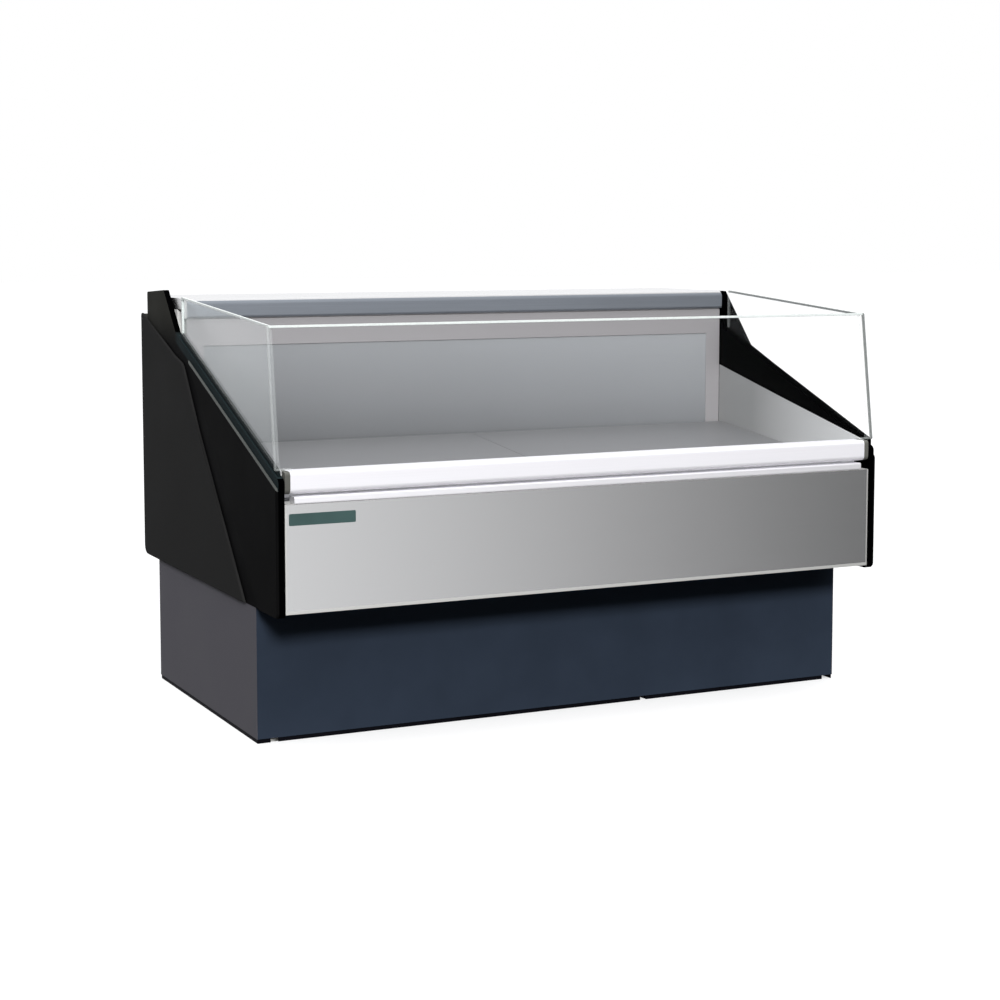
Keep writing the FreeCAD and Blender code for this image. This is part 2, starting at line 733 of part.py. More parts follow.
def levelling_foot(x, depth):
    """Foot pad, hex nut and stem; wound up until the pad just clears the floor."""
    foot = Part.makeCone(19, 15, 5, V(x, at(depth), 0.5), V(0, 0, 1))
    angles = [math.radians(60 * i) for i in range(7)]
    hexagon = Part.makePolygon([V(x + 9 * math.cos(a), at(depth) + 9 * math.sin(a), 5.5) for a in angles])
    foot = foot.fuse(Part.Face(hexagon).extrude(V(0, 0, 5.5)))
    return foot.fuse(rod_z(5, 44, x, depth, PIN_R)).removeSplitter()


def unit_tray():
    """Sheet floor of the base that carries the condensing unit."""
    return box(-FRAME_HALF, FRAME_HALF, BASE_FRONT + 4, BASE_REAR - 4, TRAY_Z, TRAY_Z + TRAY_T)


# ---------- condensing unit ----------

def compressor():
    """Hermetic compressor: domed shell, mounting plate and terminal cover."""
    x = COMP_X
    depth = COMP_D
    shell = rod_z(COMP_Z, 250, x, depth, 88)
    shell = shell.makeFillet(38.0, [e for e in shell.Edges if e.BoundBox.ZLength < 0.01])
    shell = shell.fuse(rod_z(154, 162, x, depth, 92))
    plate = box(x - 100, x + 100, depth - 75, depth + 75, COMP_Z, COMP_Z + 3)
    terminal = box(x - 26, x + 26, depth - 112, depth - 70, 130, 190)
    return shell.fuse([plate, terminal]).removeSplitter()


def compressor_grommets():
    """Four rubber mounts under the compressor plate."""
    grommets = []
    for x in (COMP_X - 84, COMP_X + 84):
        for depth in (COMP_D - 60, COMP_D + 60):
            grommets.append(rod_z(TRAY_Z + TRAY_T, COMP_Z, x, depth, 13))
    return grommets


def condenser_coil():
    """Condenser behind the rear louvres."""
    coil = box(COND_X - 150, COND_X + 150, 828, 866, 64, 272)
    for side in (-1, 1):
        x0 = COND_X + 150 if side > 0 else COND_X - 153
        coil = coil.fuse(box(x0, x0 + 3, 803, 868, TRAY_Z + TRAY_T, 276))
    return coil.removeSplitter()


def condenser_fan_shroud():
    """Flat shroud in front of the condenser with the fan's round collar."""
    shroud = box(COND_X - 150, COND_X + 150, 800, 803, TRAY_Z + TRAY_T, 274)
    shroud = shroud.fuse(rod_y(784, 803, COND_X, COND_Z, 101))
    return shroud.cut(rod_y(783, 804, COND_X, COND_Z, 98)).removeSplitter()


def condenser_fan_motor():
    """Motor on a stand that rises from the tray."""
    body = rod_y(700, 756, COND_X, COND_Z, 42)
    body = body.makeFillet(6.0, [e for e in body.Edges if e.BoundBox.YLength < 0.01])
    motor = body.fuse(rod_y(754, 786, COND_X, COND_Z, 5 - RUNNING_GAP))
    floor = TRAY_Z + TRAY_T
    stand = box(COND_X - 16, COND_X + 16, 722, 728, floor, COND_Z - 30)
    foot = box(COND_X - 40, COND_X + 40, 700, 750, floor, floor + 3)
    return motor.fuse([stand, foot]).removeSplitter()


def liquid_receiver():
    """Horizontal liquid receiver on two saddles."""
    tank = rod_x(-140, 120, 330, 122, 48)
    tank = tank.makeFillet(26.0, [e for e in tank.Edges if e.BoundBox.XLength < 0.01])
    for x in (-100, 70):
        tank = tank.fuse(box(x, x + 8, 300, 360, TRAY_Z + TRAY_T, 122))
    return tank.removeSplitter()


def refrigerant_lines():
    """Copper lines: suction, discharge, condenser to receiver, and liquid."""
    coil_side = COND_X - 153.5
    suction = [
        (SUCTION_X, 641, 470), (SUCTION_X, LINE_D, 470), (SUCTION_X, LINE_D, 290),
        (230, LINE_D, 290), (230, COMP_D, 290), (230, COMP_D, 200), (COMP_X + 89, COMP_D, 200),
    ]
    discharge = [
        (COMP_X, COMP_D + 89, 110), (COMP_X, 800, 110), (COMP_X, 800, 240),
        (COMP_X, 845, 240), (coil_side, 845, 240),
    ]
    return_run = [(coil_side, 845, 122), (-200, 845, 122), (-200, 330, 122), (-141, 330, 122)]
    liquid = [
        (121, 330, 122), (300, 330, 122), (300, 330, 300), (LIQUID_X, 330, 300),
        (LIQUID_X, LINE_D, 300), (LIQUID_X, LINE_D, 430), (LIQUID_X, 641, 430),
    ]
    lines = [bent_tube(suction, 8, 15)]
    for route in (discharge, return_run, liquid):
        lines.append(bent_tube(route, 5, 15))
    return lines


def panel_screws():
    """Pan-head screws of the rear service panel and the rear grille."""
    spots = []
    for x in (-740, -370, 0, 370, 740):
        spots.append((REAR_SKIN + SHEET, x, 940))
        spots.append((REAR_SKIN + SHEET, x, 338))
    for x in (-740, -250, 250, 740):
        spots.append((BASE_REAR, x, 296))
        spots.append((BASE_REAR, x, 24))
    screws = []
    for depth, x, z in spots:
        head = rod_y(depth, depth + 2.6, x, z, 4.5)
        rim = [e for e in head.Edges if abs(e.BoundBox.YMin - at(depth + 2.6)) < 0.01]
        screws.append(head.makeFillet(1.6, rim))
    return screws


def build():
    os.makedirs("parts", exist_ok=True)
    sides = {
        "right": (TAB_TOP_RIGHT, GLASS_REAR_RIGHT, lambda s: s),
        "left": (TAB_TOP_LEFT, GLASS_REAR_LEFT, mirrored),
    }
    for side, (tab_top, glass_rear, turned) in sides.items():
        save("end_panel_" + side, turned(end_panel(tab_top, glass_rear)))
        save("end_cover_front_" + side, turned(end_cover_front()))
        save("end_cover_rear_" + side, turned(end_cover_rear()))
        save("end_liner_" + side, turned(end_liner()))
        save("end_glass_" + side, turned(end_glass(glass_rear)))
        save("base_side_panel_" + side, turned(base_side_panel()))
    save("glass_corner_plate", corner_plate())

    save("front_panel", front_panel())
    save("badge_plate", badge_plate())
    save("front_lip", front_lip())
    save("front_glass", front_glass())
    save("front_glass_gasket", front_glass_gasket())
    save("glass_rail", glass_rail())
    save("rail_end_caps", rail_end_cap(), mirrored(rail_end_cap()))
    save("glass_pivot_pins", pivot_pin(), mirrored(pivot_pin()))

    save("tank_front_wall", tank_front_wall())
    save("tank_floor", tank_floor())
    save("tank_rear_wall", tank_rear_wall())
    save("rear_wall_frame", rear_wall_frame())
    save("rear_wall_panel", rear_wall_panel())
    save("worktop", worktop())

    pan_gap = 1.5
    save("deck_pan_left", deck_pan(-(LINER_IN - 1), -pan_gap / 2))
    save("deck_pan_right", deck_pan(pan_gap / 2, LINER_IN - 1))
    save("deck_rails", *deck_rails())
    save("return_air_grille", return_air_grille())
    save("fan_plenum", fan_plenum())
    save("evaporator_fan_motors", fan_motor(-FAN_X), fan_motor(FAN_X))
    save("evaporator_fan_left", fan_blade(-FAN_X, FAN_Z, 312, 328, 16, 70, 4, 5))
    save("evaporator_fan_right", fan_blade(FAN_X, FAN_Z, 312, 328, 16, 70, 4, 5))
    save("evaporator_coil", evaporator_coil())
    save("drain_pipe", drain_pipe())

    save("rear_service_panel", rear_service_panel())
    save("control_box", control_box())
    save("rocker_switch", rocker_switch())
    save("thermostat_knob", thermostat_knob())
    save("cord_gland", cord_gland())

    save("base_frame", *base_frame())
    save("base_front_panel", base_front_panel())
    save("base_rear_grille", base_rear_grille())
    save("toe_rails", *toe_rails())
    save("unit_tray", unit_tray())
    for depth, row in zip(FOOT_DEPTHS, ("front", "rear")):
        for x, side in ((-FOOT_X, "left"), (FOOT_X, "right")):
            save("levelling_foot_" + row + "_" + side, levelling_foot(x, depth))

    save("compressor", compressor())
    save("compressor_grommets", *compressor_grommets())
    save("condenser_coil", condenser_coil())
    save("condenser_fan_shroud", condenser_fan_shroud())
    save("condenser_fan_motor", condenser_fan_motor())
    save("condenser_fan", fan_blade(COND_X, COND_Z, 768, 786, 24, 92, 5, 5))
    save("liquid_receiver", liquid_receiver())
    save("refrigerant_lines", *refrigerant_lines())
    save("panel_screws", *panel_screws())


build()
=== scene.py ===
import json
import math

import bmesh
import bpy
from mathutils import Matrix, Vector
from mathutils.bvhtree import BVHTree


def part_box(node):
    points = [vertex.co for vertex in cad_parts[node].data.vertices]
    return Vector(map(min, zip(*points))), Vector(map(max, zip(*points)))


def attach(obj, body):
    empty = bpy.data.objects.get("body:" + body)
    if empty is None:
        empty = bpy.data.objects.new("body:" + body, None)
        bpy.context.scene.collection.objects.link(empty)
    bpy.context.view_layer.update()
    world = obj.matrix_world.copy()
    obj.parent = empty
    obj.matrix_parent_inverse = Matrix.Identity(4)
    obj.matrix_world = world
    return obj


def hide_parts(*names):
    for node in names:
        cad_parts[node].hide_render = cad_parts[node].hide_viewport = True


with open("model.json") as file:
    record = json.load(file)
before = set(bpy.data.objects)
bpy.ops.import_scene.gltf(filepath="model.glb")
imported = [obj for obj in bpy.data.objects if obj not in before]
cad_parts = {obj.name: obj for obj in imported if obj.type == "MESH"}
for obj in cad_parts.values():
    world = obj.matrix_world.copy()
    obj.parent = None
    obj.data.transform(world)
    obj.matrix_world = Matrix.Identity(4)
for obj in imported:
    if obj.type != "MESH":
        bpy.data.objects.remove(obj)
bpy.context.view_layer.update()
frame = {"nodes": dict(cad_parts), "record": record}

SLOT_OF = {row["node"]: row["material_slot"] for row in frame["record"]["subparts"]}
BODY_OF = {
    node: body
    for body, nodes in frame["record"]["behaviour"]["bodies"].items()
    for node in nodes
}
SLOPE_RISE = 0.385         # rise of the end panels' sloping edge per metre of depth
SLOPE_ZERO = 0.8135        # height of that edge's line where y is 0
HEM = 0.0075               # width of the front panel's folded border, painted in a lighter steel as its highlight
ARRIS = 0.0045             # ground band along the edges of the panes
SEAL = 0.0125              # height of the seal above the end panel's slope
FOOT = 0.64                # below this height the front pane is near or in the rail
PANE_HEAD = 0.94           # above this height lie the end panes' top edges
PANE_END = 0.775           # beyond this distance from the middle lie the front pane's ends
FLAT = math.radians(1.0)   # faces this nearly in line become one
SHARP = math.radians(28.0)  # edges that turn more than this are sharp
LOOSE = 1e-5               # vertices closer than this are one
LOUVRE_LAP = 0.001         # the hoods lap their slots by this much
CHEEK_INSET = 0.00001      # keeps a hood's cheek off the end of its hood
PRINT_T = 0.00012          # half the thickness of a printed mark
KNOB_TURN = 270.0          # degrees the thermostat knob turns
KNOB_ABOVE_BOX = 0.070     # the knob's axis over the control box's underside
TICK_RADIUS = 0.0235       # from the knob's axis to the middle of its tick marks
DIGIT_RADIUS = 0.0300      # and to the middle of its numbers
TICK = (0.0009, 0.00025, 0.004)  # width, thickness and length of a tick mark
RING_RADIUS = 0.0032       # off mark of the rocker
MARK_SINK = 0.0001         # the rocker's marks stand this deep in its face
SKIN_GRAIN = (900.0, 900.0, 900.0)  # grains per metre of the end panels' black
SLOW_DRIFT = dict(scale=(5.0, 5.0, 5.0), detail=3.0, offset=(0.4, 2.2, 1.1))  # uneven colour and gloss


# ---------- node trees ----------

class Finish:
    """One material: a Principled shader and short calls for the nodes that feed it."""

    def __init__(self, name, **values):
        self.material = bpy.data.materials.new(name)
        self.material.use_nodes = True
        self.tree = self.material.node_tree
        self.tree.nodes.clear()
        self.output = self.node("ShaderNodeOutputMaterial")
        self.shader = self.node("ShaderNodeBsdfPrincipled")
        self.join(self.shader.outputs["BSDF"], self.output.inputs["Surface"])
        self.place = self.node("ShaderNodeTexCoord").outputs["Object"]
        for socket, value in values.items():
            self.shader.inputs[socket.replace("_", " ").title().replace("Ior", "IOR")].default_value = value

    def node(self, kind, **settings):
        made = self.tree.nodes.new(kind)
        for name, value in settings.items():
            setattr(made, name, value)
        return made

    def join(self, source, target):
        self.tree.links.new(source, target)

    def feed(self, socket, source):
        self.join(source, self.shader.inputs[socket])

    def noise(self, scale, detail=4.0, roughness=0.55, offset=(0, 0, 0)):
        """Noise over the object's own metres; scale is features per metre along X, Y and Z."""
        mapping = self.node("ShaderNodeMapping")
        mapping.inputs["Scale"].default_value = scale
        mapping.inputs["Location"].default_value = offset
        self.join(self.place, mapping.inputs["Vector"])
        texture = self.node("ShaderNodeTexNoise")
        texture.inputs["Scale"].default_value = 1.0
        texture.inputs["Detail"].default_value = detail
        texture.inputs["Roughness"].default_value = roughness
        self.join(mapping.outputs["Vector"], texture.inputs["Vector"])
        return texture.outputs["Fac"]

    def spread(self, source, low, high, start=0.35, end=0.65):
        """A value that runs from low to high while the source runs from start to end."""
        made = self.node("ShaderNodeMapRange")
        for name, value in (("From Min", start), ("From Max", end), ("To Min", low), ("To Max", high)):
            made.inputs[name].default_value = value
        self.join(source, made.inputs["Value"])
        return made.outputs["Result"]

    def tint(self, source, low, high, start=0.35, end=0.65):
        """A colour that runs from low to high while the source runs from start to end."""
        made = self.node("ShaderNodeValToRGB")
        made.color_ramp.elements[0].position = start
        made.color_ramp.elements[1].position = end
        made.color_ramp.elements[0].color = (*low, 1)
        made.color_ramp.elements[1].color = (*high, 1)
        self.join(source, made.inputs["Fac"])
        return made.outputs["Color"]

    def math(self, kind, first, second):
        made = self.node("ShaderNodeMath", operation=kind)
        for socket, value in zip(made.inputs, (first, second)):
            if isinstance(value, (int, float)):
                socket.default_value = value
            else:
                self.join(value, socket)
        return made.outputs["Value"]

    def bump(self, height, distance):
        """Relief of so many metres from a height between 0 and 1."""
        made = self.node("ShaderNodeBump")
        made.inputs["Strength"].default_value = 1.0
        made.inputs["Distance"].default_value = distance
        self.join(height, made.inputs["Height"])
        self.feed("Normal", made.outputs["Normal"])

    def axes(self):
        """The object's own X, Y and Z in metres, as three outputs."""
        split = self.node("ShaderNodeSeparateXYZ")
        self.join(self.place, split.inputs["Vector"])
        return split.outputs


def shade(colour, factor):
    """The colour with every channel multiplied by the factor."""
    return tuple(part * factor for part in colour)


# ---------- materials ----------

def brushed(name, colour, rough, metallic=1.0, contrast=0.06, relief=0.00002, uneven=0.05, painted_shade=None):
    """Brushed sheet: long fine streaks along X and a slow cloudiness.

    If given, the last argument paints shade into the colour itself, darker towards the foot, in place of
    light that the studio doesn't cast: factor at the foot, factor at the head, heights of both, and how much
    the line between rises per metre along X.
    """
    finish = Finish(name, metallic=metallic)
    lines = finish.noise((3.0, 600.0, 600.0), detail=6.0, roughness=0.7)
    clouds = finish.noise((2.2, 2.2, 2.2), detail=2.0, offset=(3.1, 0.7, 1.9))
    both = finish.math("ADD", finish.math("MULTIPLY", lines, 0.7), finish.math("MULTIPLY", clouds, 0.3))
    look = finish.tint(both, shade(colour, 1 - contrast), shade(colour, 1 + contrast))
    # painted shade by height and along X, multiplied into the streaked colour
    if painted_shade is not None:
        foot, head, foot_z, head_z, lean = painted_shade
        axes = finish.axes()
        level = finish.math("ADD", axes["Z"], finish.math("MULTIPLY", axes["X"], lean))
        painted_shade_ramp = finish.tint(level, (foot,) * 3, (head,) * 3, foot_z, head_z)
        mix = finish.node("ShaderNodeMix", data_type="RGBA", blend_type="MULTIPLY")
        mix.inputs["Factor"].default_value = 1.0
        finish.join(look, mix.inputs["A"])
        finish.join(painted_shade_ramp, mix.inputs["B"])
        look = mix.outputs["Result"]
    finish.feed("Base Color", look)
    finish.feed("Roughness", finish.spread(both, rough - uneven, rough + uneven))
    finish.bump(lines, relief)
    return finish.material


def grained(name, colour, rough, specular, grain=900.0, relief=0.00006, contrast=0.18, metallic=0.0):
    """Moulded plastic, rubber or powder coat: fine grain, slow colour drift, uneven gloss."""
    finish = Finish(name, metallic=metallic)
    finish.shader.inputs["Specular IOR Level"].default_value = specular
    fine = finish.noise((grain, grain, grain), detail=3.0)
    slow = finish.noise(**SLOW_DRIFT)
    finish.feed("Base Color", finish.tint(slow, shade(colour, 1 - contrast), shade(colour, 1 + contrast)))
    finish.feed("Roughness", finish.spread(slow, rough - 0.06, rough + 0.06))
    finish.bump(fine, relief)
    return finish.material


def liner_sheet(colour):
    """Stainless liner of the ends: brushed, its colour brighter towards the front.

    The brightening is in the colour itself, in place of light that the studio doesn't cast.
    """
    finish = Finish("liner_steel", metallic=0.15)
    lines = finish.noise((600.0, 3.0, 600.0), detail=6.0, roughness=0.7)
    # painted light: the colour is this many times brighter at the front
    front_painted_light = 2.65
    back = finish.math("ADD", finish.axes()["Y"], 0.5)
    finish.feed("Base Color", finish.tint(back, shade(colour, front_painted_light), colour, 0.02, 0.52))
    finish.feed("Roughness", finish.spread(lines, 0.42, 0.50))
    finish.bump(lines, 0.00002)
    return finish.material


def finned(name, colour):
    """Coil face: close fins that read as fine dark and light lines along X."""
    finish = Finish(name, metallic=0.8, roughness=0.45)
    wave = finish.node("ShaderNodeTexWave", wave_type="BANDS", bands_direction="X", wave_profile="SAW")
    wave.inputs["Scale"].default_value = 70.0
    wave.inputs["Distortion"].default_value = 0.6
    wave.inputs["Detail"].default_value = 1.0
    finish.join(finish.place, wave.inputs["Vector"])
    finish.feed("Base Color", finish.tint(wave.outputs["Fac"], shade(colour, 0.25), colour, 0.2, 0.8))
    finish.bump(wave.outputs["Fac"], 0.0008)
    return finish.material


def pane_face():
    """Faces of clear glass: each surface mirrors more as it is seen more edge on."""
    finish = Finish("glass_face", metallic=1.0, roughness=0.02)
    weight = finish.node("ShaderNodeLayerWeight")
    weight.inputs["Blend"].default_value = 0.5
    rise = finish.math("POWER", weight.outputs["Facing"], 5.0)
    film = finish.noise((3.0, 3.0, 3.0), detail=2.0)
    head_on = finish.spread(film, 0.003, 0.007)
    finish.feed("Alpha", finish.math("ADD", head_on, finish.math("MULTIPLY", rise, 0.8)))
    finish.feed("Base Color", finish.tint(film, (0.86, 0.92, 0.92), (0.91, 0.95, 0.95)))
    return finish.material


def pane_edge(name, colour, cover):
    """Ground and polished edge of the glass, where its green shows."""
    finish = Finish(name, metallic=0.0, roughness=0.18, alpha=cover)
    finish.shader.inputs["Specular IOR Level"].default_value = 0.2
    grind = finish.noise((400.0, 400.0, 400.0), detail=3.0)
    finish.feed("Base Color", finish.tint(grind, shade(colour, 0.92), shade(colour, 1.08)))
    finish.bump(grind, 0.00003)
    return finish.material


def end_panel_skin(name, groove, tab, band):
    """Black core of the end panels: dead black in the groove as painted shade, paler on the tab as painted
    light, tinted under the slope.

    All three colours are set in the colour itself, by height and depth on the panel.
    """
    finish = Finish(name)
    finish.shader.inputs["Specular IOR Level"].default_value = 0.01
    axes = finish.axes()
    tab_low, tab_high = 0.87, 0.955
    band_low, band_high = SLOPE_ZERO - 0.027, SLOPE_ZERO - 0.020
    band_front, band_rear = 0.215, 0.235
    # painted shade below the tab and painted light on it, blending between tab_low and tab_high
    body = finish.tint(axes["Z"], groove, tab, tab_low, tab_high)
    rise = finish.math("SUBTRACT", axes["Z"], finish.math("MULTIPLY", axes["Y"], SLOPE_RISE))
    above = finish.spread(rise, 0.0, 1.0, band_low, band_high)
    ahead = finish.spread(axes["Y"], 1.0, 0.0, band_front, band_rear)
    mix = finish.node("ShaderNodeMix", data_type="RGBA")
    mix.inputs["B"].default_value = (*band, 1)
    finish.join(finish.math("MULTIPLY", above, ahead), mix.inputs["Factor"])
    finish.join(body, mix.inputs["A"])
    finish.feed("Base Color", mix.outputs["Result"])
    slow = finish.noise(**SLOW_DRIFT)
    finish.feed("Roughness", finish.spread(slow, 0.50, 0.62))
    finish.bump(finish.noise(SKIN_GRAIN, detail=3.0), 0.00006)
    return finish.material


def make_finishes():
    """One material for every slot of the record, and those that single nodes need."""
    return {
        "end_panel_black": grained("end_panel_black", (0.0004, 0.0004, 0.0005), 0.60, 0.003),
        "end_panel_side": end_panel_skin(
            "end_panel_side",
            # the groove colour is painted shade, the tab colour painted light
            groove=(0.0010, 0.0010, 0.0012), tab=(0.032, 0.032, 0.028), band=(0.014, 0.021, 0.023),
        ),
        "end_cover_black": grained("end_cover_black", (0.0046, 0.0046, 0.0048), 0.58, 0.006, grain=700.0),
        "rear_cover_black": grained("rear_cover_black", (0.0190, 0.0190, 0.0190), 0.58, 0.010, grain=700.0),
        "stainless": brushed(
            "stainless", (0.58, 0.58, 0.58), 0.24, contrast=0.015, relief=0.000006, uneven=0.015,
        ),
        # painted highlight: the front panel's folded border in a lighter, duller steel
        "hem_painted_highlight": brushed("hem_painted_highlight", (0.62, 0.62, 0.60), 0.34, metallic=0.35, contrast=0.02),
        "deck_steel": brushed("deck_steel", (0.245, 0.247, 0.255), 0.42, metallic=0.3, contrast=0.03),
        # painted reflection: the worktop's nose front in darker, bluish steel
        "nose_painted_reflection": brushed("nose_painted_reflection", (0.21, 0.23, 0.26), 0.34, metallic=0.5, contrast=0.08),
        "wall_stainless": brushed(
            "wall_stainless", (0.41, 0.425, 0.445), 0.55, metallic=0.08, contrast=0.04,
            # painted shade: the wall is darker towards its foot and lighter where X is greater
            painted_shade=(0.24, 1.0, 0.50, 1.0, 0.12),
        ),
        "wall_border": brushed("wall_border", (0.34, 0.33, 0.34), 0.50, metallic=0.08, contrast=0.02),
        "liner_steel": liner_sheet((0.35, 0.355, 0.355)),
        "bright_rail": brushed("bright_rail", (0.96, 0.95, 0.99), 0.38, metallic=0.1, contrast=0.02),
        "lip_steel": brushed("lip_steel", (0.95, 0.94, 0.97), 0.34, metallic=0.5, contrast=0.02),
        "clear_glass": pane_face(),
        "cap_grey": grained("cap_grey", (0.13, 0.13, 0.117), 0.50, 0.15),
        "badge_green": grained("badge_green", (0.057, 0.107, 0.103), 0.35, 0.20, grain=500.0),
        "gasket_black": grained("gasket_black", (0.008, 0.008, 0.008), 0.62, 0.10),
        "zinc_steel": grained("zinc_steel", (0.52, 0.52, 0.50), 0.40, 0.50, grain=120.0, metallic=0.9),
        "foam_wall": grained("foam_wall", (0.70, 0.70, 0.68), 0.60, 0.30),
        "base_charcoal": grained("base_charcoal", (0.100, 0.097, 0.112), 0.55, 0.05, contrast=0.06),
        "base_navy": grained("base_navy", (0.029, 0.040, 0.061), 0.50, 0.05, contrast=0.08),
        "toe_black": grained("toe_black", (0.004, 0.004, 0.006), 0.50, 0.02),
        "frame_grey": grained("frame_grey", (0.18, 0.18, 0.19), 0.48, 0.35),
        "pvc_white": grained("pvc_white", (0.78, 0.78, 0.75), 0.35, 0.45, contrast=0.03),
        "copper_line": grained("copper_line", (0.72, 0.35, 0.20), 0.30, 0.50, grain=200.0, metallic=1.0),
        "coil_aluminium": finned("coil_aluminium", (0.70, 0.71, 0.72)),
        "fan_black": grained("fan_black", (0.018, 0.018, 0.018), 0.45, 0.30),
        "motor_black": grained("motor_black", (0.012, 0.012, 0.013), 0.35, 0.45, grain=300.0),
        "control_grey": grained("control_grey", (0.28, 0.29, 0.30), 0.46, 0.35, contrast=0.05),
        "print_white": grained("print_white", (0.75, 0.75, 0.73), 0.50, 0.20, contrast=0.03),
        # one glass edge in three copies chosen by place: a painted highlight, a faint one, and a painted
        # dark reflection
        "edge_painted_highlight": pane_edge("edge_painted_highlight", (0.86, 0.91, 0.89), 0.92),
        "edge_faint": pane_edge("edge_faint", (0.80, 0.84, 0.83), 0.13),
        "seal_dark": grained("seal_dark", (0.0085, 0.0125, 0.0135), 0.40, 0.03, contrast=0.10),
        # painted highlight: grey on the upper face and chamfer of the left front end cover
        "cover_edge_painted_highlight": grained("cover_edge_painted_highlight", (0.085, 0.090, 0.086), 0.50, 0.02, contrast=0.08),
        "edge_painted_dark_reflection": pane_edge("edge_painted_dark_reflection", (0.27, 0.29, 0.285), 0.85),
    }


# ---------- pieces made from the CAD nodes' own shapes ----------

def rounded_copy(node, radius):
    """Mesh of a CAD node, in flat faces again and with every sharp edge rounded."""
    mesh = bmesh.new()
    mesh.from_mesh(frame["nodes"][node].data)
    bmesh.ops.remove_doubles(mesh, verts=mesh.verts, dist=LOOSE)
    bmesh.ops.dissolve_limit(mesh, angle_limit=FLAT, verts=mesh.verts, edges=mesh.edges)
    sharp = [e for e in mesh.edges if len(e.link_faces) == 2 and e.calc_face_angle(0) > SHARP]
    bmesh.ops.bevel(
        mesh, geom=sharp, offset=radius, offset_type="OFFSET", segments=2, profile=0.5,
        affect="EDGES", clamp_overlap=True,
    )
    bmesh.ops.dissolve_degenerate(mesh, dist=1e-6, edges=mesh.edges)
    return mesh


def finish_piece(name, mesh, materials, body, slot, *nodes):
    """Turns a mesh into a smooth-shaded piece on a body, standing for CAD nodes if any are named."""
    data = bpy.data.meshes.new(name)
    mesh.to_mesh(data)
    mesh.free()
    for material in materials:
        data.materials.append(material)
    data.polygons.foreach_set("use_smooth", [True] * len(data.polygons))
    data.set_sharp_from_angle(angle=SHARP)
    piece = bpy.data.objects.new(name, data)
    bpy.context.scene.collection.objects.link(piece)
    weights = piece.modifiers.new("flat_faces", "WEIGHTED_NORMAL")
    weights.keep_sharp = True
    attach(piece, body)
    if nodes:
        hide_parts(*nodes)
    return piece


def nose_face(face):
    """Front of the worktop's nose, below its bright top; its darker bluish steel is a painted reflection."""
    return face.normal.y < -0.5 and face.calc_center_median().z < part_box("worktop")[1][2] - 0.006


def outer_side(face):
    """Flat side of an end panel that faces away from the well, and on the left its sloping edge too."""
    x = face.calc_center_median().x
    return face.normal.x * math.copysign(1, x) > 0.9 or (x < 0 and face.normal.z > 0.85)


def panel_hem(face):
    """Folded border along the ends and the bottom of the front panel, painted in a lighter, duller steel as
    its highlight.
    """
    low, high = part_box("front_panel")
    middle = face.calc_center_median()
    return middle.z < low[2] + HEM or middle.x < low[0] + HEM / 2 or middle.x > high[0] - HEM / 2


def soften(node, radius):
    """Stands a rounded copy of a CAD node in its place; some nodes have a second finish on chosen faces."""
    mesh = rounded_copy(node, radius)
    slot = SLOT_OF[node]
    materials = [FINISH[OWN_FINISH.get(node, slot)]]
    if node == "front_panel":
        low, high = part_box(node)
        for point, normal in (
            ((0, 0, low[2] + HEM), (0, 0, 1)),
            ((low[0] + HEM / 2, 0, 0), (1, 0, 0)),
            ((high[0] - HEM / 2, 0, 0), (1, 0, 0)),
        ):
            everything = mesh.verts[:] + mesh.edges[:] + mesh.faces[:]
            bmesh.ops.bisect_plane(mesh, geom=everything, plane_co=point, plane_no=normal)
    if node in FACE_FINISH:
        second, chosen = FACE_FINISH[node]
        materials.append(FINISH[second])
        for face in mesh.faces:
            face.material_index = 1 if chosen(face) else 0
    return finish_piece(node + "_shape", mesh, materials, BODY_OF[node], slot, node)


def pane(node, edge_of, seal=None):
    """A sheet of glass: clear faces inside a ground band; edge_of names the band's finish at a point.

    A pane that stands in an end panel's slot shows the seal behind its foot in the finish named.
    """
    mesh = rounded_copy(node, 0.0008)
    clear = mesh.faces.layers.int.new("clear")
    largest = max(mesh.faces, key=lambda face: face.calc_area())
    across = largest.normal.copy()
    wide = [face for face in mesh.faces if abs(face.normal.dot(across)) > 0.99 and face.calc_area() > 0.01]
    bmesh.ops.inset_individual(mesh, faces=wide, thickness=ARRIS, use_even_offset=True)
    for face in wide:
        face[clear] = 1
    seal_line = Vector((0, 0, SLOPE_ZERO + SEAL))
    upward = Vector((0, -SLOPE_RISE, 1)).normalized()
    if seal:
        everything = mesh.verts[:] + mesh.edges[:] + mesh.faces[:]
        bmesh.ops.bisect_plane(mesh, geom=everything, plane_co=seal_line, plane_no=upward)
    names = ["clear_glass", "edge_painted_highlight", "edge_faint", "edge_painted_dark_reflection", seal or "clear_glass"]
    for face in mesh.faces:
        middle = face.calc_center_median()
        if seal and (middle - seal_line).dot(upward) < 0:
            face.material_index = names.index(seal)
        elif face[clear]:
            face.material_index = 0
        else:
            face.material_index = names.index(edge_of(middle))
    materials = [FINISH[name] for name in names]
    return finish_piece(node + "_pane", mesh, materials, BODY_OF[node], "clear_glass", node)


def front_pane_edge(point):
    """Painted dark reflection at the right-hand end, faint at the left-hand end and the foot, painted
    highlight elsewhere, as seen from ahead and left.
    """
    if point.x > PANE_END:
        return "edge_painted_dark_reflection"
    return "edge_faint" if point.x < -PANE_END or point.z < FOOT else "edge_painted_highlight"


def left_pane_edge(point):
    """Faint along the front edge, which stands against the front pane; painted highlight elsewhere."""
    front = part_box("end_glass_left")[0][1]
    return "edge_faint" if point.y < front + 0.06 and point.z < PANE_HEAD else "edge_painted_highlight"


def right_pane_edge(point):
    """Painted dark reflection along the top edge and faint elsewhere, as seen from ahead and left."""
    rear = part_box("end_glass_right")[1][1]
    return "edge_painted_dark_reflection" if point.z > PANE_HEAD and point.y < rear - 0.01 else "edge_faint"


def cover_slope(face):
    """Upper face and chamfer of an end cover, which carry a grey painted highlight."""
    return face.normal.z > 0.4


